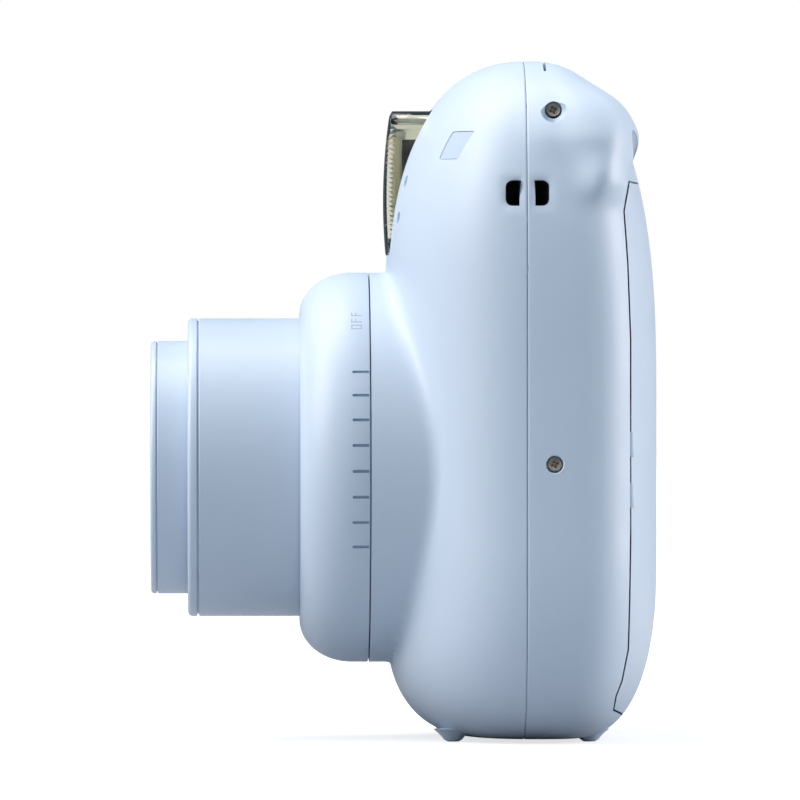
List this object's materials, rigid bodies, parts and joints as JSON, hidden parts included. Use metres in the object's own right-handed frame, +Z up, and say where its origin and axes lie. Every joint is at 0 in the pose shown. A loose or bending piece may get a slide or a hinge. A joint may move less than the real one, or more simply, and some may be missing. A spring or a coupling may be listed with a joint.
{
  "type": "instant camera",
  "caption": "Puffy two-part camera housing with a turning dial that extends a two-stage lens barrel, a hinged film door, battery door, flash and film drive inside",
  "frame": {"origin": "on the floor under the middle of the camera with its lens out", "axes": "+Z up, the lens looks along -Y, +X is the viewfinder side and the viewer's left"},
  "size_m": [0.104, 0.0914, 0.1224],
  "materials": {
    "shell_blue": "satin pastel blue",
    "black_plastic": "matt black",
    "grey_plastic": "matt grey",
    "gear_white": "natural white",
    "steel": "plain",
    "bright_steel": "polished",
    "brass_gear": "turned",
    "lens_glass": "coated",
    "clear_plastic": "smoky clear",
    "dark_window": "gloss",
    "mirror_skin": "mirror",
    "board_green": "solder mask",
    "sleeve_blue": "shrink sleeve",
    "roller_steel": "ground"
  },
  "bodies": {
    "camera_body": {"front_cover": "shell_blue", "rear_cover": "shell_blue", "door_hinge_pins": "steel", "case_screws": "steel", "lens_guide_tube": "black_plastic", "dark_chamber": "black_plastic", "chassis": "black_plastic", "roller_frame": "steel", "drive_motor": "bright_steel", "battery_holder": "grey_plastic", "battery_springs": "bright_steel", "battery_contacts": "bright_steel", "flash_window": "clear_plastic", "flash_reflector": "bright_steel", "flash_tube": "lens_glass", "flash_capacitor": "sleeve_blue", "light_sensor": "dark_window", "finder_window": "clear_plastic", "finder_tunnel": "black_plastic", "finder_eyepiece": "black_plastic", "shutter_spring": "steel", "shutter_switch": "black_plastic", "main_circuit_board": "board_green", "film_exit_guide": "black_plastic"},
    "lens_dial": {"lens_dial": "shell_blue"},
    "outer_barrel": {"outer_barrel": "shell_blue", "outer_bezel": "shell_blue", "cam_pins": "steel"},
    "inner_barrel": {"inner_barrel": "shell_blue", "inner_bezel": "shell_blue", "lens_front_plate": "grey_plastic", "front_lens": "lens_glass", "rear_lens": "lens_glass", "shutter_housing": "black_plastic", "selfie_mirror": "mirror_skin"},
    "shutter_blade": {"shutter_blade": "black_plastic"},
    "roller_front": {"roller_front": "roller_steel"},
    "roller_rear": {"roller_rear": "roller_steel"},
    "idler_gear": {"idler_gear": "gear_white"},
    "reduction_gear": {"reduction_gear": "gear_white"},
    "motor_pinion": {"motor_pinion": "brass_gear"},
    "shutter_button": {"shutter_button": "shell_blue"},
    "back_door": {"back_door": "shell_blue", "pack_springs": "steel", "film_check_window": "dark_window", "counter_window": "clear_plastic", "latch_spring": "steel"},
    "door_latch": {"door_latch": "shell_blue"},
    "battery_door": {"battery_door": "shell_blue"},
    "counter_disc": {"counter_disc": "gear_white"}
  },
  "joints": [
    {"name": "lens_dial_turn", "type": "hinge", "parent": "camera_body", "child": "lens_dial", "pos_m": [0.007, -0.0087, 0.0492], "axis": [0, -1, 0], "range_deg": [0, 42]},
    {"name": "outer_barrel_slide", "type": "slide", "parent": "camera_body", "child": "outer_barrel", "axis": [0, 1, 0], "range_m": [0, 0.0188]},
    {"name": "inner_barrel_slide", "type": "slide", "parent": "outer_barrel", "child": "inner_barrel", "axis": [0, 1, 0], "range_m": [0, 0.006]},
    {"name": "shutter_blade_swing", "type": "hinge", "parent": "inner_barrel", "child": "shutter_blade", "pos_m": [0.007, -0.0367, 0.0377], "axis": [0, 1, 0], "range_deg": [0, 34], "stiffness_Nm_per_rad": 0.0002},
    {"name": "roller_front_spin", "type": "hinge", "parent": "camera_body", "child": "roller_front", "pos_m": [0, 0.02095, 0.106], "axis": [1, 0, 0], "continuous": true},
    {"name": "roller_rear_spin", "type": "hinge", "parent": "camera_body", "child": "roller_rear", "pos_m": [0, 0.02885, 0.106], "axis": [1, 0, 0], "continuous": true},
    {"name": "idler_spin", "type": "hinge", "parent": "camera_body", "child": "idler_gear", "pos_m": [-0.0284, 0.02095, 0.09662], "axis": [1, 0, 0], "continuous": true},
    {"name": "reduction_spin", "type": "hinge", "parent": "camera_body", "child": "reduction_gear", "pos_m": [-0.0284, 0.02095, 0.08872], "axis": [1, 0, 0], "continuous": true},
    {"name": "motor_spin", "type": "hinge", "parent": "camera_body", "child": "motor_pinion", "pos_m": [-0.0316, 0.02993, 0.08353], "axis": [1, 0, 0], "continuous": true},
    {"name": "shutter_button_press", "type": "slide", "parent": "camera_body", "child": "shutter_button", "axis": [0.4226, 0.9063, 0], "range_m": [0, 0.0012], "stiffness_N_per_m": 400, "deforming": ["shutter_spring"]},
    {"name": "back_door_swing", "type": "hinge", "parent": "camera_body", "child": "back_door", "pos_m": [0.0457, 0.0396, 0.05], "axis": [0, 0, -1], "range_deg": [0, 100]},
    {"name": "door_latch_slide", "type": "slide", "parent": "back_door", "child": "door_latch", "axis": [0, 0, -1], "range_m": [0, 0.003], "stiffness_N_per_m": 300, "deforming": ["latch_spring"]},
    {"name": "battery_door_swing", "type": "hinge", "parent": "camera_body", "child": "battery_door", "pos_m": [-0.04934, 0.0359, 0.05], "axis": [0, 0, -1], "range_deg": [0, 80]},
    {"name": "counter_turn", "type": "hinge", "parent": "camera_body", "child": "counter_disc", "pos_m": [-0.034, 0.0377, 0.03], "axis": [0, 1, 0], "range_deg": [0, 300]}
  ],
  "couplings": [
    {"joint": "outer_barrel_slide", "follows": "lens_dial_turn", "m_per_rad": 0.025647},
    {"joint": "inner_barrel_slide", "follows": "lens_dial_turn", "m_per_rad": 0.0081851},
    {"joint": "roller_rear_spin", "follows": "roller_front_spin", "ratio": -1},
    {"joint": "idler_spin", "follows": "roller_front_spin", "ratio": -0.72727},
    {"joint": "reduction_spin", "follows": "roller_front_spin", "ratio": 1.6},
    {"joint": "motor_spin", "follows": "roller_front_spin", "ratio": -5.12}
  ]
}
